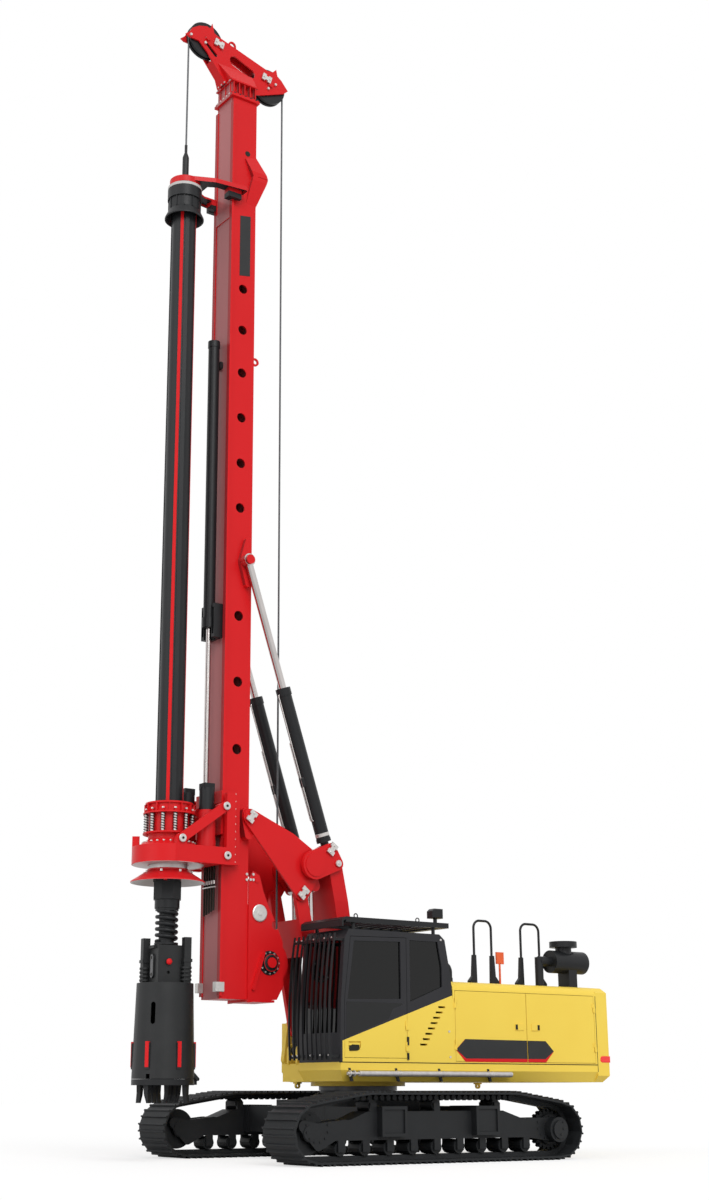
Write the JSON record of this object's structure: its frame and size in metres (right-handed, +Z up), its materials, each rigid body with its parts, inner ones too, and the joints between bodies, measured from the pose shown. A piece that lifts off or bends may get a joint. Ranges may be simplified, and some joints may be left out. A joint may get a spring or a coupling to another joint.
{
  "type": "rotary piling rig",
  "caption": "Rotary piling rig on tracks: slewing cab and engine house, boom linkage, upright mast, rotary drive, kelly bar and drilling bucket.",
  "frame": {"origin": "on the ground, on the axis about which the upper machine slews", "axes": "+X forward towards the drilling tool, +Y the machine's left (cab side), +Z up"},
  "size_m": [7.4378, 3.974, 17.324],
  "materials": {
    "yellow_paint": "gloss",
    "red_paint": "gloss",
    "black_paint": "gloss",
    "grey_steel": "satin",
    "chrome": "gloss",
    "glass": "gloss",
    "seat_fabric": "satin",
    "track_steel": "satin",
    "wire_rope": "satin"
  },
  "bodies": {
    "undercarriage": {"carbody": "black_paint", "slew_ring": "grey_steel", "track_frame_left": "black_paint", "track_frame_right": "black_paint", "track_left": "track_steel", "track_right": "track_steel"},
    "upper": {"upper_frame": "yellow_paint", "lashing_lugs": "yellow_paint", "counterweight": "yellow_paint", "hood": "yellow_paint", "engine_block": "black_paint", "right_box": "yellow_paint", "cab_shell": "yellow_paint", "cab_glass": "glass", "cab_seat": "seat_fabric", "roof_guard": "black_paint", "cab_front_guard": "black_paint", "handrails": "black_paint", "air_cleaner": "black_paint", "roof_fittings": "black_paint", "side_rail": "grey_steel"},
    "cab_door": {"cab_door": "yellow_paint", "cab_door_glass": "glass"},
    "house_door_front": {"house_door_front": "yellow_paint"},
    "house_door_rear": {"house_door_rear": "yellow_paint"},
    "boom": {"boom": "red_paint"},
    "boom_link": {"boom_link": "red_paint"},
    "triangle": {"triangle": "red_paint"},
    "boom_barrels": {"boom_cylinder_barrels": "black_paint"},
    "boom_rods": {"boom_cylinder_rods": "chrome"},
    "luffing_barrels": {"luffing_barrels": "black_paint"},
    "luffing_rods": {"luffing_rods": "chrome"},
    "mast": {"mast_box": "red_paint", "mast_head": "red_paint", "hoist_rope": "wire_rope", "kelly_rope": "wire_rope", "winch_frame": "red_paint", "crowd_barrel": "black_paint"},
    "winch_drum": {"winch_drum": "red_paint"},
    "front_sheave": {"front_sheave": "red_paint"},
    "rear_sheave": {"rear_sheave": "red_paint"},
    "drive": {"carriage": "red_paint", "gearbox": "red_paint", "drive_motors": "black_paint", "buffer_basket": "red_paint", "casing_cone": "red_paint", "crowd_rod": "chrome"},
    "kelly_head": {"kelly_guide": "red_paint", "rope_swivel": "black_paint"},
    "kelly": {"kelly_bar": "black_paint", "kelly_spring": "black_paint", "drill_tool": "black_paint"},
    "tool_gate": {"tool_gate": "black_paint"}
  },
  "joints": [
    {"name": "slew", "type": "hinge", "parent": "undercarriage", "child": "upper", "pos_m": [0, 0, 0.972], "axis": [0, 0, 1], "continuous": true},
    {"name": "cab_door_hinge", "type": "hinge", "parent": "upper", "child": "cab_door", "pos_m": [0.236, 1.456, 2], "axis": [0, 0, 1], "range_deg": [0, 130]},
    {"name": "house_door_front_hinge", "type": "hinge", "parent": "upper", "child": "house_door_front", "pos_m": [-0.625, 1.456, 1.8], "axis": [0, 0, -1], "range_deg": [0, 90]},
    {"name": "house_door_rear_hinge", "type": "hinge", "parent": "upper", "child": "house_door_rear", "pos_m": [-3.254, 1.456, 1.8], "axis": [0, 0, 1], "range_deg": [0, 90]},
    {"name": "boom_lift", "type": "hinge", "parent": "upper", "child": "boom", "pos_m": [0.84, 0, 1.75], "axis": [0, 1, 0], "range_deg": [-4, 18]},
    {"name": "link_swing", "type": "hinge", "parent": "upper", "child": "boom_link", "pos_m": [0.3, 0, 2.19], "axis": [0, 1, 0], "range_deg": [-4, 18]},
    {"name": "triangle_level", "type": "hinge", "parent": "boom", "child": "triangle", "pos_m": [1.23, 0, 3.574], "axis": [0, 1, 0], "range_deg": [-18, 4]},
    {"name": "boom_barrel_swing", "type": "hinge", "parent": "upper", "child": "boom_barrels", "pos_m": [0.9, 0, 1.45], "axis": [0, 1, 0], "range_deg": [-4, 16]},
    {"name": "boom_rod_slide", "type": "slide", "parent": "boom_barrels", "child": "boom_rods", "axis": [0.0289, 0, 0.9996], "range_m": [-0.13, 0.03]},
    {"name": "mast_tilt", "type": "hinge", "parent": "triangle", "child": "mast", "pos_m": [2.107, 0, 4.571], "axis": [0, 1, 0], "range_deg": [-15, 5]},
    {"name": "luffing_barrel_swing", "type": "hinge", "parent": "triangle", "child": "luffing_barrels", "pos_m": [0.8, 0, 4.21], "axis": [0, 1, 0], "range_deg": [-14, 5]},
    {"name": "luffing_rod_slide", "type": "slide", "parent": "luffing_barrels", "child": "luffing_rods", "axis": [0.3183, 0, 0.948], "range_m": [-0.32, 0.12]},
    {"name": "winch_turn", "type": "hinge", "parent": "mast", "child": "winch_drum", "pos_m": [1.69, 0, 2.6], "axis": [0, 1, 0], "continuous": true},
    {"name": "front_sheave_turn", "type": "hinge", "parent": "mast", "child": "front_sheave", "pos_m": [2.89, 0, 17.01], "axis": [0, 1, 0], "continuous": true},
    {"name": "rear_sheave_turn", "type": "hinge", "parent": "mast", "child": "rear_sheave", "pos_m": [1.69, 0, 16.6], "axis": [0, 1, 0], "continuous": true},
    {"name": "crowd", "type": "slide", "parent": "mast", "child": "drive", "axis": [0, 0, 1], "range_m": [-0.6, 2.1]},
    {"name": "kelly_hoist", "type": "slide", "parent": "mast", "child": "kelly_head", "axis": [0, 0, 1], "range_m": [-8, 0.3], "deforming": ["kelly_rope"]},
    {"name": "kelly_turn", "type": "hinge", "parent": "kelly_head", "child": "kelly", "pos_m": [3.18, 0, 8], "axis": [0, 0, 1], "continuous": true},
    {"name": "tool_gate_hinge", "type": "hinge", "parent": "kelly", "child": "tool_gate", "pos_m": [2.73, 0, 1.0575], "axis": [0, 1, 0], "range_deg": [0, 80]}
  ],
  "couplings": [
    {"joint": "link_swing", "follows": "boom_lift", "ratio": 1},
    {"joint": "triangle_level", "follows": "boom_lift", "ratio": -1},
    {"joint": "boom_barrel_swing", "follows": "boom_lift", "ratio": 0.828},
    {"joint": "boom_rod_slide", "follows": "boom_lift", "m_per_rad": -0.38},
    {"joint": "luffing_barrel_swing", "follows": "mast_tilt", "ratio": 0.84},
    {"joint": "luffing_rod_slide", "follows": "mast_tilt", "m_per_rad": 1.17}
  ]
}
